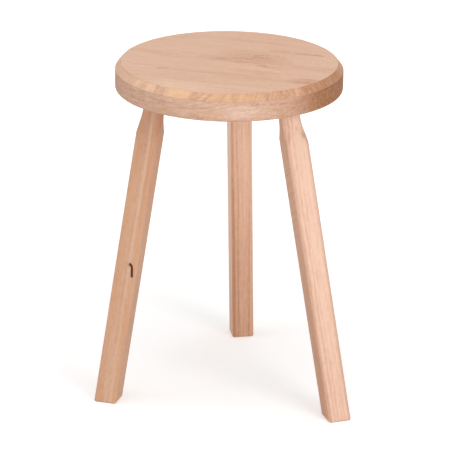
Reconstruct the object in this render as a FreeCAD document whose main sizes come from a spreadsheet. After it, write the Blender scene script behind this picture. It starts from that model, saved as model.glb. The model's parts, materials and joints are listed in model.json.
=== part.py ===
import FreeCAD, Part
import math
import os
from enum import IntEnum

import Sketcher
from FreeCAD import Vector

# A three-legged wooden stool: a round slab seat and three square legs that splay outwards.
# Each leg is a square bar whose upper end is turned to a round tapered neck and tenon,
# which is set in a reamed blind socket in the underside of the seat.
# Millimetres, +Z up. The origin is on the floor, in the middle of the stool's footprint.

# Driving dimensions: alias, value, what it is. Lengths in mm, angles in degrees.
SIZES = [
    ("stool_height", 461.8, "floor to the top of the seat"),
    ("seat_right", 5.3, "seat centre, to the right of the origin"),
    ("seat_forward", 17.8, "seat centre, in front of the origin"),
    ("seat_diameter", 300.0, "outside diameter of the seat"),
    ("seat_thickness", 35.5, "thickness of the seat slab"),
    ("bevel_drop", 9.0, "height of the bevel round the top of the seat"),
    ("bevel_width", 7.3, "width of that bevel, seen from above"),
    ("bevel_easing", 1.0, "radius that softens the lower edge of the bevel"),
    ("top_easing", 0.5, "narrow chamfer that softens the upper edge of the bevel"),
    ("underside_rounding", 3.0, "radius round the lower edge of the seat"),
    ("leg_side", 30.7, "side of the square leg bar"),
    ("arris_radius", 3.4, "rounding of the four long edges of a leg"),
    ("foot_easing", 1.5, "chamfer round the foot of a leg"),
    ("neck_diameter", 25.0, "turned neck where it enters the seat"),
    ("taper_angle", 3.7, "half angle of the neck and tenon"),
    ("neck_length", 28.0, "straight taper below the seat"),
    ("cove_radius", 75.0, "hollow that runs the neck out onto the bar"),
    ("socket_cover", 9.0, "seat thickness less the length of the tenon"),
    ("tenon_chamfer", 1.5, "chamfer round the end of the tenon"),
    ("glue_gap", 0.1, "clearance round the tenon"),
    ("end_gap", 0.6, "clearance beyond the end of the tenon"),
]

# Each leg was set by hand, so each has its own values. The reach is the distance of its
# neck from the seat's centre and the bearing is the neck's direction. The lean is the
# direction in which the leg splays, the splay is its angle from upright and the twist
# turns the square bar about its own axis. Bearings run from +X towards +Y. The right
# leg's neck is turned off the middle of its bar.
LEGS = {
    "back": {
        "reach": 99.8,
        "bearing": 82.6,
        "lean_angle": 82.4,
        "splay_angle": 9.33,
        "twist_angle": 17.5,
    },
    "left": {
        "reach": 101.8,
        "bearing": 201.4,
        "lean_angle": 198.9,
        "splay_angle": 9.11,
        "twist_angle": 54.9,
    },
    "right": {
        "reach": 97.1,
        "bearing": 320.5,
        "lean_angle": 326.7,
        "splay_angle": 11.47,
        "twist_angle": 51.9,
        "bar_offset": 1.4,
    },
}

# Expressions that several features share.
UNDERSIDE = "(Sizes.stool_height - Sizes.seat_thickness)"
TENON_LENGTH = "(Sizes.seat_thickness - Sizes.socket_cover)"
TAPER = "tan(Sizes.taper_angle * 1deg)"
# How far a cutting shape runs past the wood that it cuts.
OVERRUN = "Sizes.leg_side / 4"

# Edges this close to a height, in mm, lie at that height.
SAME_HEIGHT = 0.01

# The sketcher's numbers for the points of a curve, which count from 1.
START, END, CENTRE = IntEnum("CurvePoint", "START END CENTRE")


class SketchAxis(IntEnum):
    """The sketcher's numbers for a sketch's own two axes."""

    LEVEL = -1
    UPRIGHT = -2


ORIGIN = (SketchAxis.LEVEL, START)


def add_sizes(doc):
    """The spreadsheet of driving dimensions, one row each: alias, value, note."""
    sheet = doc.addObject("Spreadsheet::Sheet", "Sizes")
    rows = list(SIZES)
    for leg, values in LEGS.items():
        rows += [(f"{leg}_{key}", value, f"{leg} leg, {key}") for key, value in values.items()]
    for number, (alias, value, note) in enumerate(rows, start=1):
        sheet.set(f"A{number}", alias)
        sheet.set(f"B{number}", str(value))
        sheet.set(f"C{number}", note)
        sheet.setAlias(f"B{number}", alias)
    doc.recompute()


def origin_plane(body, role):
    return next(f for f in body.Origin.OriginFeatures if f.Role == role)


def bound(feature, **sizes):
    """Ties properties of a feature to the sheet."""
    for prop, expression in sizes.items():
        feature.setExpression(prop, expression)
    return feature


def frame(x="0", y="0", z="0", turn="rotation(vector(0; 0; 1); 0)"):
    """Expression for a placement: where its origin lies and how it is turned."""
    return f"placement(vector({x}; {y}; {z}); {turn})"


def add_sketch(body, name, role, offset=frame()):
    """A sketch on one of the body's own origin planes, moved in that plane's frame."""
    sketch = body.newObject("Sketcher::SketchObject", name)
    sketch.AttachmentSupport = [(origin_plane(body, role), "")]
    sketch.MapMode = "FlatFace"
    bound(sketch, AttachmentOffset=offset)
    return sketch


def evaluate(item, expression):
    value = item.evalExpression(expression)
    return getattr(value, "Value", value)


def constrain(sketch, kind, *where):
    return sketch.addConstraint(Sketcher.Constraint(kind, *where))


def dimension(sketch, kind, *where, size):
    """A driving constraint whose value is an expression of the sheet."""
    index = constrain(sketch, kind, *where, evaluate(sketch, size))
    sketch.setExpression(f"Constraints[{index}]", size)


def pin(sketch, point, x=None, y=None):
    """Holds a point of the sketch at its distances from the sketch's origin."""
    for kind, axis, size in (
        ("DistanceX", SketchAxis.UPRIGHT, x),
        ("DistanceY", SketchAxis.LEVEL, y),
    ):
        if size is None:
            continue
        if evaluate(sketch, size) > 0:
            dimension(sketch, kind, *ORIGIN, *point, size=size)
        elif evaluate(sketch, size) < 0:
            dimension(sketch, kind, *point, *ORIGIN, size=f"-({size})")
        else:
            constrain(sketch, "PointOnObject", *point, axis)


def add_outline(sketch, corners):
    """A closed outline of straight lines, whose corners are pairs of expressions."""
    points = [Vector(evaluate(sketch, x), evaluate(sketch, y)) for x, y in corners]
    ends = points[1:] + points[:1]
    lines = [sketch.addGeometry(Part.LineSegment(*pair)) for pair in zip(points, ends)]
    for line, following in zip(lines, lines[1:] + lines[:1]):
        constrain(sketch, "Coincident", line, END, following, START)
    for line, (x, y) in zip(lines, corners):
        pin(sketch, (line, START), x, y)


def add_rounded_square(sketch, side, radius):
    """A square centred on the sketch's origin, with rounded corners."""
    flat = f"({side} - 2 * {radius})"
    reach = evaluate(sketch, f"{flat} / 2")
    corner = evaluate(sketch, radius)
    arcs = []
    for quarter, (x, y) in enumerate(((1, 1), (-1, 1), (-1, -1), (1, -1))):
        circle = Part.Circle(Vector(x * reach, y * reach), Vector(0, 0, 1), corner)
        start = quarter * math.pi / 2
        arcs.append(sketch.addGeometry(Part.ArcOfCircle(circle, start, start + math.pi / 2)))
    for quarter, (arc, following) in enumerate(zip(arcs, arcs[1:] + arcs[:1])):
        ends = sketch.getPoint(arc, END), sketch.getPoint(following, START)
        line = sketch.addGeometry(Part.LineSegment(*ends))
        constrain(sketch, "Tangent", arc, END, line, START)
        constrain(sketch, "Tangent", line, END, following, START)
        constrain(sketch, "Vertical" if quarter % 2 else "Horizontal", line)
    for arc in arcs[1:]:
        constrain(sketch, "Equal", arcs[0], arc)
    constrain(sketch, "Symmetric", arcs[0], CENTRE, arcs[2], CENTRE, *ORIGIN)
    dimension(sketch, "Radius", arcs[0], size=radius)
    dimension(sketch, "DistanceX", arcs[1], CENTRE, arcs[0], CENTRE, size=flat)
    dimension(sketch, "DistanceY", arcs[3], CENTRE, arcs[0], CENTRE, size=flat)


def add_turning_profile(sketch):
    """What the lathe takes off the bar: all that lies outside the tenon, neck and cove.

    From the end of the tenon the outline runs in over its chamfer, down the straight taper
    and out along the hollow cove, tangent to the taper, until it is clear of the corners.
    """
    shoulder = f"({TENON_LENGTH} - Sizes.tenon_chamfer)"
    top = f"({TENON_LENGTH} + {OVERRUN})"
    tenon_radius = f"(Sizes.neck_diameter / 2 - {shoulder} * {TAPER})"
    neck_radius = f"(Sizes.neck_diameter / 2 + Sizes.neck_length * {TAPER})"
    clear = "Sizes.leg_side"
    corners = [
        (f"{tenon_radius} - Sizes.tenon_chamfer - {OVERRUN}", top),
        (tenon_radius, shoulder),
        (neck_radius, "-Sizes.neck_length"),
        (clear, top),
    ]
    inner, end, foot, outer = [
        Vector(evaluate(sketch, x), evaluate(sketch, y)) for x, y in corners
    ]
    radius = evaluate(sketch, "Sizes.cove_radius")
    taper_angle = math.radians(evaluate(sketch, "Sizes.taper_angle"))
    centre = foot + Vector(math.cos(taper_angle), math.sin(taper_angle)) * radius
    turned = math.acos((centre.x - outer.x) / radius)
    circle = Part.Circle(centre, Vector(0, 0, 1), radius)
    hollow = Part.ArcOfCircle(circle, math.pi + taper_angle, math.pi + turned)

    chamfer = sketch.addGeometry(Part.LineSegment(inner, end))
    taper = sketch.addGeometry(Part.LineSegment(end, foot))
    cove = sketch.addGeometry(hollow)
    side = sketch.addGeometry(Part.LineSegment(sketch.getPoint(cove, END), outer))
    across = sketch.addGeometry(Part.LineSegment(outer, inner))
    constrain(sketch, "Coincident", chamfer, END, taper, START)
    constrain(sketch, "Tangent", taper, END, cove, START)
    constrain(sketch, "Coincident", cove, END, side, START)
    constrain(sketch, "Coincident", side, END, across, START)
    constrain(sketch, "Coincident", across, END, chamfer, START)
    constrain(sketch, "Vertical", side)
    dimension(sketch, "Radius", cove, size="Sizes.cove_radius")
    for line, (x, y) in zip((chamfer, taper, across), (corners[0], corners[1], corners[3])):
        pin(sketch, (line, START), x, y)
    pin(sketch, (taper, END), *corners[2])


def turn_about_upright(body, kind, name, sketch):
    """A full turn of the sketch about its own upright axis."""
    feature = body.newObject(kind, name)
    feature.Profile = sketch
    feature.ReferenceAxis = (sketch, ["V_Axis"])
    feature.Angle = 360
    return feature


def level_edges(shape, height):
    """Names of the edges that lie flat at this height."""
    return [
        f"Edge{number}"
        for number, edge in enumerate(shape.Edges, start=1)
        if max(abs(vertex.Z - height) for vertex in edge.Vertexes) < SAME_HEIGHT
        and edge.BoundBox.ZLength < SAME_HEIGHT
    ]


def soften(body, kind, name, height, **size):
    """A fillet or chamfer of the body's round edges at one height, on what is there so far."""
    body.Document.recompute()
    base = body.Tip
    feature = body.newObject(kind, name)
    feature.Base = (base, level_edges(base.Shape, evaluate(base, height)))
    bound(feature, **size)


def lowest_face(shape):
    """Name of the face whose centre lies lowest."""
    heights = [face.CenterOfMass.z for face in shape.Faces]
    return f"Face{heights.index(min(heights)) + 1}"


def leg_turn(leg):
    """Expression for the rotation that leans a leg outwards from upright."""
    lean = f"rotation(vector(0; 0; 1); Sizes.{leg}_lean_angle)"
    return f"{lean} * rotation(vector(0; 1; 0); -Sizes.{leg}_splay_angle)"


def neck_frame(leg):
    """Expression for the frame of a leg's turned neck, in the seat's frame.

    Its origin is where the neck's axis meets the underside of the seat, its Z runs up that
    axis and its X points the way that the leg leans.
    """
    x = f"Sizes.{leg}_reach * cos(Sizes.{leg}_bearing * 1deg)"
    y = f"Sizes.{leg}_reach * sin(Sizes.{leg}_bearing * 1deg)"
    return frame(x, y, turn=leg_turn(leg))


def seat_frame():
    """Expression for the seat's frame: the centre of its underside."""
    return frame("Sizes.seat_right", "-Sizes.seat_forward", UNDERSIDE)


def make_seat(doc):
    """The round slab, with its bevel, softened edges and three reamed sockets."""
    body = doc.addObject("PartDesign::Body", "seat")
    section = add_sketch(body, "seat_section", "XZ_Plane")
    radius = "Sizes.seat_diameter / 2"
    bevel_foot = "(Sizes.seat_thickness - Sizes.bevel_drop)"
    corners = [
        ("0", "0"),
        (radius, "0"),
        (radius, bevel_foot),
        (f"{radius} - Sizes.bevel_width", "Sizes.seat_thickness"),
        ("0", "Sizes.seat_thickness"),
    ]
    add_outline(section, corners)
    turn_about_upright(body, "PartDesign::Revolution", "slab", section)

    fillet, chamfer = "PartDesign::Fillet", "PartDesign::Chamfer"
    soften(body, fillet, "bevel_foot", bevel_foot, Radius="Sizes.bevel_easing")
    soften(body, chamfer, "bevel_top", "Sizes.seat_thickness", Size="Sizes.top_easing")
    soften(body, fillet, "lower_edge", "0", Radius="Sizes.underside_rounding")

    for leg in LEGS:
        ream_socket(body, leg)
    bound(body, Placement=seat_frame())
    return body


def ream_socket(body, leg):
    """The tapered blind hole for one leg's tenon, cut along that leg's axis."""
    lead = "(Sizes.neck_diameter / 2)"
    depth = f"({TENON_LENGTH} + Sizes.end_gap)"
    mouth = "(Sizes.neck_diameter / 2 + Sizes.glue_gap)"
    socket = body.newObject("PartDesign::SubtractiveCone", f"socket_{leg}")
    socket.AttachmentSupport = [(origin_plane(body, "XY_Plane"), "")]
    socket.MapMode = "FlatFace"
    bound(
        socket,
        AttachmentOffset=f"{neck_frame(leg)} * {frame(z=f'-{lead}')}",
        Height=f"{depth} + {lead}",
        Radius1=f"{mouth} + {lead} * {TAPER}",
        Radius2=f"{mouth} - {depth} * {TAPER}",
    )


def make_leg(doc, leg):
    """One leg, in the frame of its neck: a square bar, cut at the floor and turned on top."""
    body = doc.addObject("PartDesign::Body", f"leg_{leg}")
    splay = f"Sizes.{leg}_splay_angle"
    axis_length = f"({UNDERSIDE} / cos({splay} * 1deg))"
    aside = f"Sizes.{leg}_bar_offset" if "bar_offset" in LEGS[leg] else "0"

    twisted = frame(aside, turn=f"rotation(vector(0; 0; 1); Sizes.{leg}_twist_angle)")
    section = add_sketch(body, f"{leg}_section", "XY_Plane", twisted)
    add_rounded_square(section, "Sizes.leg_side", "Sizes.arris_radius")
    bar = body.newObject("PartDesign::Pad", f"{leg}_bar")
    bar.Profile = section
    bar.SideType = "Two sides"
    bound(bar, Length=TENON_LENGTH, Length2=f"{axis_length} + Sizes.leg_side")

    level = frame(y=f"-{axis_length}", turn=f"rotation(vector(0; 0; 1); -{splay})")
    below_floor = add_sketch(body, f"{leg}_below_floor", "XZ_Plane", level)
    reach = "2 * Sizes.leg_side"
    corners = [(f"-{reach}", "0"), (reach, "0"), (reach, f"-{reach}"), (f"-{reach}", f"-{reach}")]
    add_outline(below_floor, corners)
    floor_cut = body.newObject("PartDesign::Pocket", f"{leg}_floor_cut")
    floor_cut.Profile = below_floor
    floor_cut.SideType = "Symmetric"
    bound(floor_cut, Length=f"2 * {reach}")

    turning = add_sketch(body, f"{leg}_turning", "XZ_Plane")
    add_turning_profile(turning)
    neck = turn_about_upright(body, "PartDesign::Groove", f"{leg}_neck", turning)
    doc.recompute()

    foot = body.newObject("PartDesign::Chamfer", f"{leg}_foot")
    foot.Base = (neck, [lowest_face(neck.Shape)])
    bound(foot, Size="Sizes.foot_easing")
    bound(body, Placement=f"{seat_frame()} * {neck_frame(leg)}")
    return body


def check(doc, bodies):
    """Stops if an object failed, a cut took nothing away or a piece isn't one valid solid."""
    cuts = ("PartDesign::Groove", "PartDesign::Pocket", "PartDesign::SubtractiveCone")
    for item in doc.Objects:
        if {"Invalid", "Error"} & set(item.State):
            raise RuntimeError(f"{item.Name} failed: {item.State}")
        if item.TypeId in cuts and item.Shape.Volume >= item.BaseFeature.Shape.Volume:
            raise RuntimeError(f"{item.Name} cuts nothing")
    for body in bodies:
        shape = body.Shape
        if shape.isNull() or not shape.isValid() or len(shape.Solids) != 1:
            raise RuntimeError(f"{body.Label} isn't one valid solid")


def main():
    doc = FreeCAD.newDocument("stool")
    add_sizes(doc)
    bodies = [make_seat(doc)] + [make_leg(doc, leg) for leg in LEGS]
    doc.recompute()
    check(doc, bodies)
    os.makedirs("parts", exist_ok=True)
    for body in bodies:
        body.Shape.exportStep(f"parts/{body.Label}.step")
        print(body.Label, f"{body.Shape.Volume:.0f} mm3")


main()
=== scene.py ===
import json
import math

import bpy
from mathutils import Matrix, Vector

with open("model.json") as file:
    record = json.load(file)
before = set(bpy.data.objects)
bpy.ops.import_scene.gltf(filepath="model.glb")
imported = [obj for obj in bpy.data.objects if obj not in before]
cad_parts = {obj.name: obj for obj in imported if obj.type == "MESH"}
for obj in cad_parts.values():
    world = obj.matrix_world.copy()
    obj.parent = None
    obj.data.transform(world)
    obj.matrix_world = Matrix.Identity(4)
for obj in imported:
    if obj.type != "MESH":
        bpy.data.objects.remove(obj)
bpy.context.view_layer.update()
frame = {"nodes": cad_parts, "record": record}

# The looks of a three-legged wooden stool: bare, fine-sanded wood, lit by soft studio lamps.
# Places and sizes in the materials are millimetres, and x, y, z there are a piece's grain
# frame: x runs along the grain, y and z across it. Colours are sRGB, 0 to 255.

MM = 0.001

# The seat, whose place the record gives, and each leg's setting. The offset is how far the
# bar's middle lies outside its neck's.
SEAT_TOP = Vector(next(m["pos_m"] for m in frame["record"]["mounts"] if m["name"] == "seat_top"))
SEAT_RADIUS = 150.0
SEAT_THICKNESS = 35.5
BEVEL_DROP = 9.0
BEVEL_WIDTH = 7.3
LEG_SIDE = 30.7
ARRIS_RADIUS = 3.4
SEAT_GRAIN_TURN = -18.0
LEGS = {
    "back": {
        "reach": 99.8,
        "bearing": 82.6,
        "lean": 82.4,
        "splay": 9.33,
        "twist": 17.5,
        "offset": 0.0,
    },
    "left": {
        "reach": 101.8,
        "bearing": 201.4,
        "lean": 198.9,
        "splay": 9.11,
        "twist": 54.9,
        "offset": 0.0,
    },
    "right": {
        "reach": 97.1,
        "bearing": 320.5,
        "lean": 326.7,
        "splay": 11.47,
        "twist": 51.9,
        "offset": 1.4,
    },
}


def rgb(red, green, blue):
    """An sRGB colour as the linear RGBA that Blender takes."""
    linear = []
    for value in (red / 255, green / 255, blue / 255):
        linear.append(value / 12.92 if value <= 0.04045 else ((value + 0.055) / 1.055) ** 2.4)
    return (*linear, 1.0)


class Field:
    """A number at every point of a material, made of shader nodes by plain arithmetic."""

    def __init__(self, graph, socket):
        self.graph = graph
        self.socket = socket

    def __add__(self, other):
        return self.graph.math("ADD", self, other)

    def __sub__(self, other):
        return self.graph.math("SUBTRACT", self, other)

    def __rsub__(self, other):
        return self.graph.math("SUBTRACT", other, self)

    def __mul__(self, other):
        return self.graph.math("MULTIPLY", self, other)

    def __truediv__(self, other):
        return self.graph.math("DIVIDE", self, other)

    __radd__ = __add__
    __rmul__ = __mul__

    def size(self):
        return self.graph.math("ABSOLUTE", self)

    def root(self):
        return self.graph.math("SQRT", self)

    def floor(self):
        return self.graph.math("FLOOR", self)

    def larger(self, other):
        return self.graph.math("MAXIMUM", self, other)

    def smaller(self, other):
        return self.graph.math("MINIMUM", self, other)

    def rise(self, low, high):
        """0 below low and 1 above high, with a smooth step between; low may be the larger."""
        sockets = {"Value": self, "From Min": low, "From Max": high}
        return self.graph.add("ShaderNodeMapRange", sockets, interpolation_type="SMOOTHSTEP")

    def near(self, middle, reach):
        """1 where the value is at the middle, 0 from the reach outwards."""
        return (self - middle).size().rise(reach, 0.0)


class Graph:
    """One material and short ways to add nodes to it."""

    def __init__(self, name):
        self.material = bpy.data.materials.new(name)
        self.material.use_nodes = True
        self.nodes = self.material.node_tree.nodes
        self.links = self.material.node_tree.links
        self.nodes.clear()

    def fill(self, socket, value):
        value = value.socket if isinstance(value, Field) else value
        if isinstance(value, bpy.types.NodeSocket):
            self.links.new(value, socket)
        else:
            socket.default_value = value

    def add(self, kind, sockets=None, output=0, **settings):
        """Adds a node, sets its options and sockets and returns one of its outputs."""
        node = self.nodes.new(kind)
        for key, value in settings.items():
            setattr(node, key, value)
        for key, value in (sockets or {}).items():
            self.fill(node.inputs[key], value)
        return Field(self, node.outputs[output])

    def math(self, operation, *values):
        return self.add("ShaderNodeMath", dict(enumerate(values)), operation=operation)

    def vector(self, operation, *values, output=0):
        sockets = dict(enumerate(values))
        return self.add("ShaderNodeVectorMath", sockets, output, operation=operation)

    def split(self, vector):
        node = self.nodes.new("ShaderNodeSeparateXYZ")
        self.fill(node.inputs[0], vector)
        return [Field(self, output) for output in node.outputs]

    def join(self, x, y, z):
        return self.add("ShaderNodeCombineXYZ", {0: x, 1: y, 2: z})

    def place(self, axes):
        """Millimetres in the frame whose matrix this is, in metres."""
        where = self.add("ShaderNodeTexCoord", output="Object")
        sockets = {
            "Vector": where,
            "Location": axes.to_translation(),
            "Rotation": axes.to_euler(),
            "Scale": (MM, MM, MM),
        }
        return self.add("ShaderNodeMapping", sockets, vector_type="TEXTURE")

    def noise(self, place, lumps, detail=2.0, roughness=0.5, shift=0.0):
        """Smooth noise about 0, mostly within 0.5, whose lumps have these sizes in mm."""
        scale = tuple(1.0 / lump for lump in lumps)
        there = self.vector("MULTIPLY", place, scale)
        there = self.vector("ADD", there, (shift, -shift, 2 * shift))
        sockets = {"Vector": there, "Scale": 1.0, "Detail": detail, "Roughness": roughness}
        return (self.add("ShaderNodeTexNoise", sockets) - 0.5) * 2.0

    def chance(self, number, shift=0.0):
        """A random number from 0 to 1 for each whole number."""
        return self.add("ShaderNodeTexWhiteNoise", {"W": number + shift}, noise_dimensions="1D")

    def mix(self, share, first, second):
        """The first colour where the share is 0, the second where it is 1."""
        node = self.nodes.new("ShaderNodeMix")
        node.data_type = "RGBA"
        self.fill(node.inputs["Factor"], share)
        colours = [socket for socket in node.inputs if socket.type == "RGBA"]
        self.fill(colours[0], first)
        self.fill(colours[1], second)
        return Field(self, next(o for o in node.outputs if o.type == "RGBA"))

    def ramp(self, value, tones):
        """Colour for a number from 0 to 1; tones holds (number, colour) pairs."""
        field = self.add("ShaderNodeValToRGB", {"Fac": value})
        stops = field.socket.node.color_ramp.elements
        while len(stops) < len(tones):
            stops.new(0.5)
        for stop, (position, colour) in zip(stops, tones):
            stop.position = position
            stop.color = colour
        return field

    def bump(self, height):
        """A bumped normal for a height in mm."""
        return self.add("ShaderNodeBump", {"Height": height, "Distance": MM, "Strength": 1.0})

    def add_output(self, shader):
        output = self.nodes.new("ShaderNodeOutputMaterial")
        self.fill(output.inputs["Surface"], shader)


def seat_axes(turn=0.0):
    """The seat's frame, at the middle of its underside, turned by this angle."""
    under = SEAT_TOP - Vector((0, 0, SEAT_THICKNESS * MM))
    return Matrix.Translation(under) @ Matrix.Rotation(math.radians(turn), 4, "Z")


def leg_axes(leg):
    """The grain frame of a leg: x up the leg from its neck, y and z square to its faces."""
    bearing = math.radians(leg["bearing"])
    neck = Vector((math.cos(bearing), math.sin(bearing), 0)) * leg["reach"] * MM
    lean = Matrix.Rotation(math.radians(leg["lean"]), 4, "Z")
    splay = Matrix.Rotation(math.radians(-leg["splay"]), 4, "Y")
    bar = Matrix.Translation((leg["offset"] * MM, 0, 0))
    twist = Matrix.Rotation(math.radians(leg["twist"]), 4, "Z")
    along_grain = Matrix(((0, 1, 0, 0), (0, 0, 1, 0), (1, 0, 0, 0), (0, 0, 0, 1)))
    return seat_axes() @ Matrix.Translation(neck) @ lean @ splay @ bar @ twist @ along_grain


# The grain's noises: size of the lumps along and across it, detail, roughness and shift.
GRAIN = {
    "streaks": ((170, 10, 10), 4, 0.68, 0),
    "clouds": ((110, 55, 45), 2, 0.5, 3),
    "fibres": ((50, 1.9, 1.9), 3, 0.6, 5),
    "flecks": ((8, 3.6, 3.6), 3, 0.6, 15),
    "hairs": ((14, 0.5, 0.5), 2, 0.6, 7),
}
# Dark dashes along the grain: their spacing along and across it, thickness and share kept.
PORES = ((9.0, 2.6), 0.13, 0.45)
SPECKS = ((9.0, 4.0), 0.26, 0.5)
# Lumps of the noises that bend the growth rings. Then the part of a year's growth in which
# the wood darkens, where it turns pale again and how the years differ in strength.
WANDER_LUMPS = (320, 90, 90)
RIPPLE_LUMPS = (70, 16, 16)
LATE_WOOD = (0.3, 0.92)
YEAR_END = (1.0, 0.93)
YEAR_STRENGTH = (0.1, 1.0)
# How much light all the wood reflects, how rough it is and how far the grain changes that.
REFLECTION = 0.3
ROUGHNESS = 0.5
GRAIN_ROUGHNESS = {"streaks": 0.08, "hairs": 0.08}


class Wood(Graph):
    """Solid wood: growth rings, streaks, fibres and pores that run through the piece."""

    def __init__(self, name, axes, rings, swells=(), shift=0.0):
        super().__init__(name)
        self.shift = shift
        self.at = self.place(axes)
        self.x, self.y, self.z = self.split(self.at)
        self.ends = self.end_grain(axes)
        self.rings = self.growth(rings, swells)
        self.pores = self.dashes(*PORES)
        self.specks = self.dashes(*SPECKS)
        self.layers = {"rings": self.rings, "pores": self.pores}
        for layer, (lumps, detail, roughness, more) in GRAIN.items():
            self.layers[layer] = self.noise(self.at, lumps, detail, roughness, shift + more)

    def blend(self, weights, start):
        """The start plus each layer of the grain times its weight."""
        total = start
        for layer, weight in weights.items():
            total = total + self.layers[layer] * weight
        return total

    def surface(self, colour, roughness, relief):
        sockets = {
            "Base Color": colour,
            "Roughness": roughness,
            "Specular IOR Level": REFLECTION,
            "Normal": self.bump(relief),
        }
        self.add_output(self.add("ShaderNodeBsdfPrincipled", sockets))

    def end_grain(self, axes):
        """How squarely the surface cuts across the fibres, from 0 to 1."""
        normal = self.add("ShaderNodeTexCoord", output="Normal")
        grain = axes.to_3x3().col[0]
        return self.vector("DOT_PRODUCT", normal, tuple(grain), output="Value").size()

    def growth(self, rings, swells):
        """Late wood at the end of each year's ring: pith place, ring width and waviness."""
        slow = self.noise(self.at, WANDER_LUMPS, 1, 0.5, self.shift + 11)
        quick = self.noise(self.at, RIPPLE_LUMPS, 2, 0.5, self.shift + 13)
        across = self.y - rings["pith"][0] + slow * rings["wander"]
        up = self.z - rings["pith"][1]
        radius = (across * across + up * up).root() + quick * rings["ripple"]
        for swell in swells:
            radius = radius + self.bulge(*swell)
        years = radius / rings["width"]
        year = years.floor()
        grown = years - year
        late = grown.rise(*LATE_WOOD) * grown.rise(*YEAR_END)
        return late * self.chance(year, self.shift).rise(*YEAR_STRENGTH)

    def bulge(self, x, y, height, length, width):
        """A bell-shaped swelling of the rings round a branch or dip."""
        along = (self.x - x) / length
        across = (self.y - y) / width
        squares = (along * along + across * across) * -1.0
        return self.math("EXPONENT", squares) * height

    def dashes(self, spacing, thickness, share):
        """Fine dark vessels: long along the grain, dots across it."""
        along, across = spacing
        scaled = self.vector("MULTIPLY", self.at, (1 / along, 1 / across, 1 / across))
        sockets = {"Vector": scaled, "Scale": 1.0, "Randomness": 1.0}
        distance = self.add("ShaderNodeTexVoronoi", sockets, "Distance")
        cell = self.add("ShaderNodeTexVoronoi", sockets, "Color")
        kept = self.split(cell)[0].rise(1 - share, 1 - share + 0.1)
        return distance.rise(thickness, thickness * 0.4) * kept

    def stroke(self, first, second, points, thickness):
        """1 along a line through these points, 0 from its thickness outwards."""
        nearest = None
        for (x0, y0), (x1, y1) in zip(points, points[1:]):
            run, side = x1 - x0, y1 - y0
            from_x, from_y = first - x0, second - y0
            share = (from_x * run + from_y * side) / (run * run + side * side)
            share = share.larger(0.0).smaller(1.0)
            off_x, off_y = from_x - share * run, from_y - share * side
            distance = (off_x * off_x + off_y * off_y).root()
            nearest = distance if nearest is None else nearest.smaller(distance)
        return nearest.rise(thickness, thickness * 0.3)


# The seat's places here are (right, back) of its centre, as seen in the photo.
SEAT_RINGS = {"pith": (14.0, -150.0), "width": 3.8, "wander": 26.0, "ripple": 2.0}
# Where the rings swell round knots and dips: place, height, and reach along and across.
SEAT_SWELLS = [
    ((67.0, -31.0), 6.0, 15.0, 8.0),
    ((116.0, -3.0), 9.0, 26.0, 12.0),
    ((55.0, 22.0), -5.0, 24.0, 10.0),
    ((20.0, 42.0), 5.0, 34.0, 9.0),
    ((-60.0, -60.0), 4.0, 40.0, 14.0),
]
# Long patches on top: place, reach along and across the grain, and change of shade.
SEAT_PATCHES = [
    ((24.0, 22.0), (70.0, 34.0), 0.3),
    ((56.0, -18.0), (48.0, 24.0), 0.14),
    ((42.0, -48.0), (34.0, 10.0), 0.1),
    ((10.0, -66.0), (60.0, 22.0), 0.12),
    ((100.0, -88.0), (34.0, 22.0), 0.32),
    ((-62.0, -108.0), (66.0, 26.0), -0.18),
]
# Darker lines on top: both ends, half width and change of shade.
SEAT_LINES = [
    ((-140.0, -11.0), (-82.0, -35.0), 6.0, 0.2),
    ((-92.0, -35.0), (-17.0, -55.0), 6.0, 0.22),
    ((-32.0, 20.0), (43.0, -22.0), 9.0, 0.24),
    ((40.0, -21.0), (78.0, -50.0), 6.0, 0.14),
    ((57.0, 47.0), (122.0, 27.0), 6.0, 0.3),
    ((3.0, 103.0), (74.0, 77.0), 6.0, 0.16),
    ((42.0, -75.0), (94.0, -98.0), 6.0, 0.1),
    ((11.0, -41.0), (65.0, -69.0), 6.0, 0.16),
    ((-108.0, 113.0), (-33.0, 106.0), 6.0, 0.12),
]
# Faint rings round small dips: place, reach along and across the grain.
SEAT_EYES = [
    ((66.0, -32.0), (15.0, 16.0)),
    ((115.0, -1.0), (12.0, 20.0)),
    ((57.0, 20.0), (12.0, 15.0)),
    ((30.0, 40.0), (11.0, 13.0)),
    ((2.0, 51.0), (13.0, 12.0)),
]
# Their turns in radians per reach, where they fade out in reaches, and their change of shade.
EYE_TURNS = 12.0
EYE_FADE = (1.3, 0.7)
EYE_STRENGTH = 0.1
# How the lines and rings on top waver and break off: lumps of the noise and its measures.
LINE_WAVE = ((32, 16, 16), 5.0)
LINE_BREAKS = ((22, 6, 6), (-0.45, 0.35))
SEAT_TONES = [
    (0.0, rgb(234, 196, 171)),
    (0.4, rgb(217, 176, 149)),
    (0.7, rgb(206, 160, 131)),
    (1.0, rgb(180, 128, 97)),
]
SEAT_END_TONES = [(0.0, rgb(190, 140, 104)), (0.5, rgb(160, 105, 68)), (1.0, rgb(116, 66, 36))]
BEVEL_TONES = [(0.0, rgb(240, 204, 168)), (0.5, rgb(222, 177, 137)), (1.0, rgb(184, 134, 96))]
SIDE_TONES = [(0.0, rgb(238, 204, 182)), (0.5, rgb(212, 168, 142)), (1.0, rgb(164, 115, 89))]
# How much each layer of the grain darkens the slab, and how high it stands in mm.
SEAT_SHADE = 0.44
SEAT_GRAIN = {"streaks": 0.18, "flecks": 0.24, "clouds": 0.16, "fibres": 0.22, "hairs": 0.16}
SEAT_RELIEF = {"hairs": 0.012, "fibres": 0.02, "rings": -0.02, "pores": -0.05}
# How much the rings darken the top.
TOP_RINGS = 0.16
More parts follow.
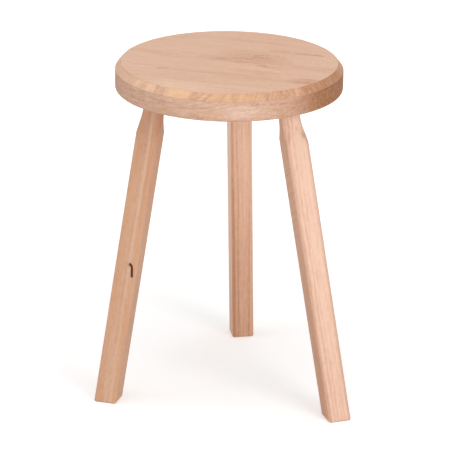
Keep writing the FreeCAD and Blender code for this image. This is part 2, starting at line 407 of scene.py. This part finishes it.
# The knot and the pin hole on top: place, reaches, share of their colour and the colour.
KNOT = ((66.0, -31.0), (6.0, 5.0), 0.6, rgb(160, 112, 84))
PIN_HOLE = ((-93.2, 94.2), (1.5, 1.5), 0.75, rgb(112, 74, 52))
PIN_DEPTH = 0.4
# Round the bevel, in degrees from the front: a patch's start, its shade and how yellow it is.
BEVEL_PATCHES = [
    (-90.0, 0.42, 0.25),
    (-57.0, 0.36, 0.4),
    (-40.0, 0.54, 0.1),
    (-32.0, 0.5, 1.0),
    (-20.0, 0.62, 0.35),
    (-12.0, 0.7, 0.8),
    (17.0, 0.66, 0.35),
    (26.0, 0.72, 0.4),
    (40.0, 0.88, 0.6),
    (54.0, 0.92, 0.35),
    (76.0, 0.68, 0.3),
]
# Half the width of the change from one patch to the next, in degrees.
PATCH_EDGE = 0.8
# Broad and fine strokes across the bevel: lumps in mm, the degrees from the front between
# which they set in, the strength they gain there and, for the broad ones, that before it.
BEVEL_HATCH = ((5.6, 20.0, 1), (-62.0, -54.0), 0.26, 0.06)
BEVEL_TICKS = ((2.6, 14.0, 1), (12.0, 26.0), 0.24)
# Their lean per mm of height in front, and the degrees between which they come upright.
HATCH_LEAN = 0.9
LEAN_ANGLES = (34.0, 16.0)
# How much of the grain's shade and of the end grain's colour the bevel takes.
BEVEL_GRAIN = 0.6
BEVEL_END_SHARE = 0.6
# End grain shows where the surface cuts the fibres squarely. Its share grows towards the
# right of the rim, between these degrees from the front. Then its wear and its roughness.
SQUARE_CUT = (0.55, 0.98)
END_ANGLES = (22.0, 50.0)
END_SHARES = (0.4, 0.98)
END_WEAR = ((160, 6, 4), 0.5)
END_ROUGHNESS = 0.12
# The side's grain runs down to this angle from both sides, by this much per mm.
SIDE_DIP = 14.0
SIDE_SLOPE = 0.17
# The lumps of the side's figure and its change of shade, and that of the rings there.
SIDE_FIGURE = ((26, 2.8, 1), 0.38)
SIDE_RINGS = 0.08
# Painted light, paler in front: place along the rim and height, reaches and change of shade.
SIDE_PAINTED_LIGHT = ((20.0, 13.0), (44.0, 13.0), -0.22)
# Marks on the side of the slab: degrees from the front, height, reaches in mm and share.
SIDE_MARKS = [
    (-36.7, 18.5, (15.0, 1.8), 0.55),
    (12.4, 22.5, (8.5, 3.4), 0.6),
    (-14.5, 5.0, (13.0, 3.0), 0.4),
    (-24.0, 14.0, (11.0, 1.6), 0.3),
    (63.0, 20.0, (12.0, 5.0), 0.35),
]
MARK_BROWN = rgb(140, 102, 82)
# A warmer patch in front: degrees from the front, height, reaches in mm and share.
WARM_PATCH = (-9.0, 9.0, (20.0, 7.0), 0.3)
WARM_TONE = rgb(228, 172, 132)
# The darker lines along the bevel's upper and lower edge: half width and share of their
# colour, which grows towards the left above the bevel, between these degrees.
TOP_RIM_WIDTH = 1.4
TOP_RIM_ANGLES = (-30.0, -55.0)
TOP_RIM_SHARES = (0.14, 0.38)
# The lower line is painted shade at the top of the side.
LOW_RIM_WIDTH = (1.2, 1.4)
LOW_RIM_SHARE = 0.2
RIM_TONE = rgb(172, 122, 94)
SEAT_PORE_SHARE = 0.3
SEAT_PORE_TONE = rgb(150, 104, 80)


def on_seat(right, back):
    """A place on the seat in its grain frame."""
    turn = math.radians(-SEAT_GRAIN_TURN)
    x = right * math.cos(turn) - back * math.sin(turn)
    y = right * math.sin(turn) + back * math.cos(turn)
    return x, y


def on_rim(angle, height):
    """A place on the side as its way along the rim and its height."""
    return math.radians(angle) * SEAT_RADIUS, height


def spot(first, second, middle, reach):
    """1 in the middle of a soft ellipse, 0 from its reaches outwards."""
    off = (first - middle[0]) / reach[0]
    aside = (second - middle[1]) / reach[1]
    return (off * off + aside * aside).root().rise(1.0, 0.25)


class SeatWood(Wood):
    """The slab: flat-sawn top, side grain in front and behind, end grain left and right."""

    def __init__(self):
        swells = [(*on_seat(*where), *sizes) for where, *sizes in SEAT_SWELLS]
        axes = seat_axes(SEAT_GRAIN_TURN)
        super().__init__("seat_wood", axes, SEAT_RINGS, swells, shift=2.0)
        self.right, self.back, self.height = self.split(self.place(seat_axes()))
        self.radius = (self.right * self.right + self.back * self.back).root()
        self.around = self.math("ARCTAN2", self.right, self.back * -1.0) * math.degrees(1.0)
        self.along_rim = self.around * math.radians(SEAT_RADIUS)
        self.shade = self.blend(SEAT_GRAIN, SEAT_SHADE)
        self.find_faces()

    def find_faces(self):
        """Where the bevel, the side and the end grain are, each from 0 to 1."""
        self.bevel_foot = SEAT_THICKNESS - BEVEL_DROP
        self.top_radius = SEAT_RADIUS - BEVEL_WIDTH
        outside = self.radius.rise(self.top_radius - 0.5, self.top_radius + 0.3)
        self.bevel = outside * self.height.rise(self.bevel_foot - 0.5, self.bevel_foot + 0.4)
        self.side = outside * (1.0 - self.bevel)
        least, most = END_SHARES
        share = self.around.rise(*END_ANGLES) * (most - least) + least
        self.cut = self.ends.rise(*SQUARE_CUT) * share

    def top_colour(self):
        shade = self.shade + self.rings * TOP_RINGS + self.top_figure()
        return self.ramp(shade, SEAT_TONES)

    def top_figure(self):
        """Change of shade on top by its patches, its darker lines and its faint rings."""
        change = 0.0
        for place, reach, strength in SEAT_PATCHES:
            change = change + spot(self.x, self.y, on_seat(*place), reach) * strength
        lumps, wave = LINE_WAVE
        wavy = self.y + self.noise(self.at, lumps, 2, 0.5, 10) * wave
        lumps, breaks = LINE_BREAKS
        broken = self.noise(self.at, lumps, 2, 0.5, 14).rise(*breaks)
        for start, end, half_width, strength in SEAT_LINES:
            line = self.stroke(self.x, wavy, [on_seat(*start), on_seat(*end)], half_width)
            change = change + line * broken * strength
        for place, reach in SEAT_EYES:
            x, y = on_seat(*place)
            along, across = (self.x - x) / reach[0], (wavy - y) / reach[1]
            distance = (along * along + across * across).root()
            rings = self.math("SINE", distance * EYE_TURNS) * distance.rise(*EYE_FADE)
            change = change + rings * broken * EYE_STRENGTH
        return change

    def end_colour(self):
        lumps, wear = END_WEAR
        worn = self.noise(self.at, lumps, 2, 0.6, 8)
        return self.ramp(self.shade + worn * wear, SEAT_END_TONES)

    def side_colour(self, end_colour):
        dip = (self.along_rim - on_rim(SIDE_DIP, 0.0)[0]).size()
        level = self.height + dip * SIDE_SLOPE
        lumps, strength = SIDE_FIGURE
        figure = self.noise(self.join(self.along_rim, level, 0.0), lumps, 3, 0.55, 4)
        # A pool of painted light on the front of the side.
        place, reach, change = SIDE_PAINTED_LIGHT
        lit = spot(self.along_rim, self.height, place, reach)
        shade = self.shade + figure * strength + self.rings * SIDE_RINGS + lit * change
        return self.mix(self.cut, self.ramp(shade, SIDE_TONES), end_colour)

    def bevel_patches(self):
        """Shade and yellowness of the bevel, which cuts through patch after patch of grain."""
        shade, yellow = BEVEL_PATCHES[0][1:]
        for start, next_shade, next_yellow in BEVEL_PATCHES[1:]:
            past = self.around.rise(start - PATCH_EDGE, start + PATCH_EDGE)
            shade = past * (next_shade - shade) + shade
            yellow = past * (next_yellow - yellow) + yellow
        return shade, yellow

    def bevel_colour(self, end_colour):
        shade, yellow = self.bevel_patches()
        lean = self.around.size().rise(*LEAN_ANGLES) * HATCH_LEAN
        slant = self.join(self.along_rim - self.height * lean, self.height, 0.0)
        lumps, angles, strength, least = BEVEL_HATCH
        hatch = self.noise(slant, lumps, 1, 0.5, 6)
        hatch = hatch * (self.around.rise(*angles) * strength + least)
        lumps, angles, strength = BEVEL_TICKS
        ticks = self.noise(slant, lumps, 1, 0.5, 9) * self.around.rise(*angles) * strength
        shade = shade + (self.shade - SEAT_SHADE) * BEVEL_GRAIN + hatch + ticks
        plain = self.ramp(shade, SIDE_TONES)
        colour = self.mix(yellow, plain, self.ramp(shade, BEVEL_TONES))
        return self.mix(self.cut * BEVEL_END_SHARE, colour, end_colour)

    def darken_rims(self, colour):
        """A thin darker line above the bevel, clearest at the left, and a line of painted shade
        below it.
        """
        top_rim = self.radius.near(self.top_radius, TOP_RIM_WIDTH)
        top_rim = top_rim * self.height.near(SEAT_THICKNESS, TOP_RIM_WIDTH)
        least, most = TOP_RIM_SHARES
        top_rim = top_rim * (self.around.rise(*TOP_RIM_ANGLES) * (most - least) + least)
        out, up = LOW_RIM_WIDTH
        low_rim = self.radius.near(SEAT_RADIUS, out) * self.height.near(self.bevel_foot, up)
        return self.mix(top_rim.larger(low_rim * LOW_RIM_SHARE), colour, RIM_TONE)

    def mark_top(self, colour):
        """Adds the pin hole and the knot and returns the hole too."""
        place, reach, share, tone = PIN_HOLE
        pin = spot(self.right, self.back, place, reach)
        colour = self.mix(pin * share, colour, tone)
        place, reach, share, tone = KNOT
        dark_spot = spot(self.right, self.back, place, reach) * self.rings.rise(0.05, 0.5)
        return self.mix(dark_spot * share, colour, tone), pin

    def mark_side(self, colour):
        speckle = self.noise(self.join(self.along_rim, self.height, 0.0), (3.2, 2.4, 1))
        speckle = speckle.rise(-0.3, 0.3)
        for angle, level, reach, share in SIDE_MARKS:
            mark = spot(self.along_rim, self.height, on_rim(angle, level), reach)
            colour = self.mix(mark * speckle * self.side * share, colour, MARK_BROWN)
        angle, level, reach, share = WARM_PATCH
        warm = spot(self.along_rim, self.height, on_rim(angle, level), reach)
        return self.mix(warm * self.side * share, colour, WARM_TONE)


def seat_wood():
    wood = SeatWood()
    end_colour = wood.end_colour()
    colour = wood.mix(wood.side, wood.top_colour(), wood.side_colour(end_colour))
    colour = wood.mix(wood.bevel, colour, wood.bevel_colour(end_colour))
    colour, pin = wood.mark_top(wood.darken_rims(colour))
    colour = wood.mark_side(colour)
    colour = wood.mix(wood.pores * SEAT_PORE_SHARE, colour, SEAT_PORE_TONE)
    relief = wood.blend(SEAT_RELIEF, pin * -PIN_DEPTH)
    roughness = wood.blend(GRAIN_ROUGHNESS, wood.cut * END_ROUGHNESS + ROUGHNESS)
    wood.surface(colour, roughness, relief)
    return wood.material


# Each leg's own look: where its rings' pith lies and its tones from pale to dark. The side
# is the face beside the front one in the photo, as axis, sign and change of shade. Stripes
# run down the leg: axis across, middle, half width, change of shade at neck and at foot.
# Tints are stripes with a colour: axis, middle, half width, share and colour. Specks is the
# share of the specks' colour, and foot the change of shade from the neck to the foot.
LEG_LOOKS = {
    "left": {
        "rings": {"pith": (90.0, -70.0), "width": 4.6, "wander": 10.0, "ripple": 1.0},
        "tones": ((226, 187, 159), (211, 161, 129), (192, 137, 103)),
        "side": ("z", 1.0, -0.13),
        "stripes": [
            ("z", 4.4, 4.2, -0.36, 0.0),
            ("z", 0.0, 9.5, 0.0, -0.16),
            ("z", 8.0, 3.8, -0.1, -0.36),
        ],
        "tints": [
            ("z", -9.8, 3.4, 0.35, (218, 161, 117)),
            ("z", 11.8, 3.2, 0.5, (224, 164, 121)),
        ],
        "specks": 0.28,
        "foot": -0.02,
    },
    "back": {
        "rings": {"pith": (60.0, 85.0), "width": 4.2, "wander": 8.0, "ripple": 0.9},
        "tones": ((250, 214, 188), (238, 190, 161), (200, 146, 113)),
        "side": ("z", 1.0, -0.4),
        "stripes": [
            ("z", 12.8, 3.2, 0.38, 0.4),
            ("z", 0.0, 30.0, -0.24, -0.26),
            ("z", -12.0, 4.0, -0.04, -0.2),
        ],
        "tints": [
            ("z", 5.5, 1.7, 0.14, (214, 156, 112)),
            ("z", -0.4, 1.7, 0.2, (214, 156, 112)),
        ],
        "specks": 0.12,
        "foot": 0.6,
    },
    "right": {
        "rings": {"pith": (-85.0, 60.0), "width": 4.4, "wander": 8.0, "ripple": 0.8},
        "tones": ((252, 217, 195), (243, 202, 177), (206, 157, 129)),
        "side": ("y", -1.0, 0.2),
        "stripes": [
            ("y", -12.6, 4.0, 0.1, 0.2),
            ("y", -1.9, 1.8, 0.08, 0.08),
        ],
        "tints": [
            ("y", -14.6, 1.8, 0.35, (200, 138, 96)),
            ("y", 14.2, 3.8, 0.9, (214, 168, 146)),
        ],
        "specks": 0.14,
        "foot": 0.12,
    },
}
LEG_LENGTH = 430.0
LEG_FLAT = LEG_SIDE / 2
# How much each layer of the grain darkens the legs, and how high it stands in mm.
LEG_SHADE = 0.42
LEG_GRAIN = {
    "streaks": 0.2,
    "rings": 0.22,
    "fibres": 0.26,
    "clouds": 0.12,
    "hairs": 0.16,
    "flecks": 0.2,
}
LEG_RELIEF = {"hairs": 0.012, "fibres": 0.025, "rings": -0.02, "pores": -0.06}
LEG_TONE_STEPS = (0.0, 0.45, 1.0)
LEG_SQUARE_CUT = (0.35, 0.95)
LEG_END_SHARE = 0.6
LEG_END_TONE = rgb(186, 134, 102)
# A painted highlight along the legs' arrises: its share and its pale colour.
ARRIS_HIGHLIGHT_SHARE = 0.06
ARRIS_HIGHLIGHT_TONE = rgb(240, 208, 188)
LEG_PORE_SHARE = 0.4
LEG_PORE_TONE = rgb(158, 104, 78)
SPECK_TONE = rgb(168, 112, 80)
# How far the stripes waver, and the part of that by which the tints do.
STRIPE_WAVER = 1.4
TINT_WAVER = 0.5
# On the left leg's front face, which begins at this depth: the crack and the scratch above
# it as (x, z) points, and the stain beside them as place, reaches, share and colour.
LEFT_FRONT = (13.5, 14.5)
CRACK = [(-230.8, 5.4), (-232.8, 7.6), (-237.0, 8.8), (-242.0, 9.4), (-247.0, 10.2)]
CRACK_WIDTH = 2.5
CRACK_KNOT = (2.8, 2.4)
CRACK_DEPTH = 0.1
CRACK_TONE = rgb(78, 28, 8)
SCRATCH = [(-230.6, -3.0), (-228.7, 5.0)]
SCRATCH_WIDTH = 0.7
SCRATCH_SHARE = 0.3
SCRATCH_TONE = rgb(150, 110, 88)
STAIN = ((-232.5, 4.6), (3.4, 3.6), 0.75, rgb(176, 118, 70))
# The right leg's faint knots and, last, a spot of painted shade at its neck, as (x, y) with
# their reaches and share, on the face where z is low.
RIGHT_FRONT = (-9.0, -12.0)
RIGHT_KNOTS_AND_NECK_SHADE = [
    ((-121.6, -1.9), (2.6, 1.5), 0.2),
    ((-90.8, -10.2), (6.0, 1.2), 0.2),
    ((-236.5, -1.0), (2.6, 1.5), 0.14),
    ((-34.4, 1.5), (5.0, 2.2), 0.25),
    # Painted shade where the neck's cove runs out at the bar's corner.
    ((-44.0, 10.5), (8.0, 4.5), 0.4),
]
RIGHT_KNOT_AND_SHADE_TONE = rgb(170, 114, 84)
# The saw's marks on the right leg's side face: their spacing, slant, share and colour, and
# the middle and the reach of the sawn stretch along the leg.
SAW_SPACING = 3.0
SAW_SLANT = 0.36
SAW_STRENGTH = 0.42
SAW_TONE = rgb(158, 112, 84)
SAWN = (-135.0, 120.0)


class LegWood(Wood):
    """A square bar: long stripes on its faces, arches where the neck is turned."""

    def __init__(self, name, look, shift):
        super().__init__(f"{name}_leg_wood", leg_axes(LEGS[name]), look["rings"], shift=shift)
        self.look = look
        self.across = {"y": self.y, "z": self.z}
        self.down = (self.x / -LEG_LENGTH).rise(0.0, 1.1)
        self.waver = self.noise(self.at, (150, 40, 40), 1, 0.5, shift + 9) * STRIPE_WAVER
        axis, sign, _ = look["side"]
        self.side = (self.across[axis] * sign).rise(LEG_FLAT - 0.8, LEG_FLAT)

    def shade(self):
        """The grain, darker or paler towards the foot, in the stripes and on the side face."""
        shade = self.blend(LEG_GRAIN, LEG_SHADE) + self.down * self.look["foot"]
        for axis, middle, reach, at_neck, at_foot in self.look["stripes"]:
            stripe = (self.across[axis] + self.waver).near(middle, reach)
            shade = shade + stripe * (self.down * (at_foot - at_neck) + at_neck)
        return shade + self.side * self.look["side"][2]

    def tinted(self):
        """The colour of the shade, with the coloured stripes."""
        tones = [rgb(*tone) for tone in self.look["tones"]]
        colour = self.ramp(self.shade(), list(zip(LEG_TONE_STEPS, tones)))
        for axis, middle, reach, share, tint in self.look["tints"]:
            stripe = (self.across[axis] + self.waver * TINT_WAVER).near(middle, reach)
            colour = self.mix(stripe * share, colour, rgb(*tint))
        return colour

    def colour(self):
        """The tinted wood with its end grain, a painted highlight along the arrises, pores and
        specks.
        """
        ends = self.ends.rise(*LEG_SQUARE_CUT) * LEG_END_SHARE
        colour = self.mix(ends, self.tinted(), LEG_END_TONE)
        # Painted highlight: paler along the rounded arrises.
        corner = (self.y.size() - LEG_FLAT).size() + (self.z.size() - LEG_FLAT).size()
        colour = self.mix(corner.rise(ARRIS_RADIUS, 1.0) * ARRIS_HIGHLIGHT_SHARE, colour, ARRIS_HIGHLIGHT_TONE)
        colour = self.mix(self.pores * LEG_PORE_SHARE, colour, LEG_PORE_TONE)
        return self.mix(self.specks * self.look["specks"], colour, SPECK_TONE)


def leg_wood(name, look, shift):
    wood = LegWood(name, look, shift)
    colour = wood.colour()
    relief = wood.blend(LEG_RELIEF, 0.0)
    if name == "left":
        colour, relief = add_crack(wood, colour, relief)
    if name == "right":
        colour = add_knots_and_neck_shade(wood, add_saw_marks(wood, colour))
    wood.surface(colour, wood.blend(GRAIN_ROUGHNESS, ROUGHNESS), relief)
    return wood.material


def add_crack(wood, colour, relief):
    """The dark open crack beside a small knot, on the front face only."""
    front = wood.y.rise(*LEFT_FRONT)
    dark_spot = spot(wood.x, wood.z, CRACK[1], CRACK_KNOT)
    crack = wood.stroke(wood.x, wood.z, CRACK, CRACK_WIDTH).larger(dark_spot) * front
    scratch = wood.stroke(wood.x, wood.z, SCRATCH, SCRATCH_WIDTH) * front
    place, reach, share, tone = STAIN
    stain = spot(wood.x, wood.z, place, reach) * front
    colour = wood.mix(stain * share, colour, tone)
    colour = wood.mix(scratch * SCRATCH_SHARE, colour, SCRATCH_TONE)
    colour = wood.mix(crack, colour, CRACK_TONE)
    return colour, relief - crack * CRACK_DEPTH


def add_saw_marks(wood, colour):
    """Fine slanting marks that a saw leaves across a face."""
    slant = wood.join(wood.x + wood.z * SAW_SLANT, 0.0, 0.0)
    marks = wood.noise(slant, (SAW_SPACING, 1, 1), 1, 0.5, 12).rise(-0.1, 0.5)
    sawn = wood.side * marks * wood.x.near(*SAWN) * SAW_STRENGTH
    return wood.mix(sawn, colour, SAW_TONE)


def add_knots_and_neck_shade(wood, colour):
    # Faint knots, and painted shade at the neck's corner.
    for place, reach, share in RIGHT_KNOTS_AND_NECK_SHADE:
        dark_spot = spot(wood.x, wood.y, place, reach) * wood.z.rise(*RIGHT_FRONT)
        colour = wood.mix(dark_spot * share, colour, RIGHT_KNOT_AND_SHADE_TONE)
    return colour


def dress_parts():
    """Gives every piece of the stool its own wood."""
    materials = {"seat": seat_wood()}
    for number, (name, look) in enumerate(LEG_LOOKS.items()):
        materials[f"leg_{name}"] = leg_wood(name, look, shift=20.0 + 17.0 * number)
    for node, material in materials.items():
        piece = frame["nodes"][node]
        for slot in piece.material_slots:
            slot.material = material


# The photo's camera: where it stands, its pitch and roll in degrees and its lens.
CAMERA_AT = (0.0033, -2.8849, 1.3233)
CAMERA_PITCH = 20.874
CAMERA_ROLL = 0.644
CAMERA_LENS = 181.34
CAMERA_SENSOR = 36.0


def add_camera():
    camera = bpy.data.objects.new("camera", bpy.data.cameras.new("camera"))
    camera.data.lens = CAMERA_LENS
    camera.data.sensor_width = CAMERA_SENSOR
    camera.location = CAMERA_AT
    upright = Matrix.Rotation(math.radians(90.0 - CAMERA_PITCH), 4, "X")
    roll = Matrix.Rotation(math.radians(CAMERA_ROLL), 4, "Z")
    camera.rotation_euler = (upright @ roll).to_euler()
    scene = bpy.context.scene
    scene.collection.objects.link(camera)
    scene.camera = camera
    scene.view_settings.view_transform = "Standard"


# Square soft lamps: place, width in metres and power in watts. All aim at the legs' middle.
LAMPS = {
    "key": ((1.6, -2.0, 1.4), 1.2, 22.4),
    "top": ((0.0, -0.3, 2.2), 1.6, 16.7),
    "low": ((0.0, -2.6, 0.5), 1.0, 7.5),
    "left": ((-2.2, -0.3, 0.8), 1.2, 9.0),
}
LAMP_AIM = Vector((0.0, 0.0, 0.25))
WORLD_LIGHT = 0.45


def add_lamps():
    for name, (place, width, power) in LAMPS.items():
        data = bpy.data.lights.new(name, "AREA")
        data.shape = "SQUARE"
        data.size = width
        data.energy = power
        lamp = bpy.data.objects.new(name, data)
        lamp.location = place
        lamp.rotation_mode = "QUATERNION"
        lamp.rotation_quaternion = (LAMP_AIM - lamp.location).to_track_quat("-Z", "Y")
        lamp.visible_camera = False
        bpy.context.scene.collection.objects.link(lamp)


def add_world():
    """Even light from all round; seen directly or in a reflection it is plain white."""
    world = bpy.data.worlds.new("studio")
    world.use_nodes = True
    bpy.context.scene.world = world
    nodes, links = world.node_tree.nodes, world.node_tree.links
    path = nodes.new("ShaderNodeLightPath")
    seen = nodes.new("ShaderNodeMath")
    seen.operation = "MAXIMUM"
    links.new(path.outputs["Is Camera Ray"], seen.inputs[0])
    links.new(path.outputs["Is Glossy Ray"], seen.inputs[1])
    strength = nodes.new("ShaderNodeMapRange")
    strength.inputs["To Min"].default_value = WORLD_LIGHT
    strength.inputs["To Max"].default_value = 1.0
    links.new(seen.outputs[0], strength.inputs["Value"])
    background = nodes["Background"]
    background.inputs["Color"].default_value = (1.0, 1.0, 1.0, 1.0)
    links.new(strength.outputs[0], background.inputs["Strength"])


FLOOR_HALF = 6.0
FLOOR_WHITE = 0.8
# The floor's own light near the stool and far from it, and where it changes, in metres.
FLOOR_GLOW = (0.39, 0.8)
GLOW_FROM, GLOW_TO = 0.3, 1.6


def add_floor():
    """A plain white floor that keeps a soft shadow and can be seen through from below."""
    mesh = bpy.data.meshes.new("floor")
    signs = [(-1, -1), (1, -1), (1, 1), (-1, 1)]
    corners = [(x * FLOOR_HALF, y * FLOOR_HALF, 0.0) for x, y in signs]
    mesh.from_pydata(corners, [], [(0, 1, 2, 3)])
    floor = bpy.data.objects.new("floor", mesh)
    bpy.context.scene.collection.objects.link(floor)
    mesh.materials.append(floor_paint())


def floor_paint():
    graph = Graph("floor_paint")
    white = (FLOOR_WHITE, FLOOR_WHITE, FLOOR_WHITE, 1.0)
    paint = graph.add("ShaderNodeBsdfDiffuse", {"Color": white})
    x, y, _ = graph.split(graph.add("ShaderNodeTexCoord", output="Object"))
    far = (x * x + y * y).root().rise(GLOW_FROM, GLOW_TO)
    strength = far * (FLOOR_GLOW[1] - FLOOR_GLOW[0]) + FLOOR_GLOW[0]
    glow = graph.add("ShaderNodeEmission", {"Color": (1.0, 1.0, 1.0, 1.0), "Strength": strength})
    lit = graph.add("ShaderNodeAddShader", {0: paint, 1: glow})
    seen = graph.add("ShaderNodeLightPath", output="Is Camera Ray")
    above = graph.add("ShaderNodeMixShader", {0: seen, 1: paint, 2: lit})
    clear = graph.add("ShaderNodeBsdfTransparent")
    below = graph.add("ShaderNodeNewGeometry", output="Backfacing")
    graph.add_output(graph.add("ShaderNodeMixShader", {0: below, 1: above, 2: clear}))
    return graph.material


dress_parts()
add_camera()
add_lamps()
add_world()
add_floor()
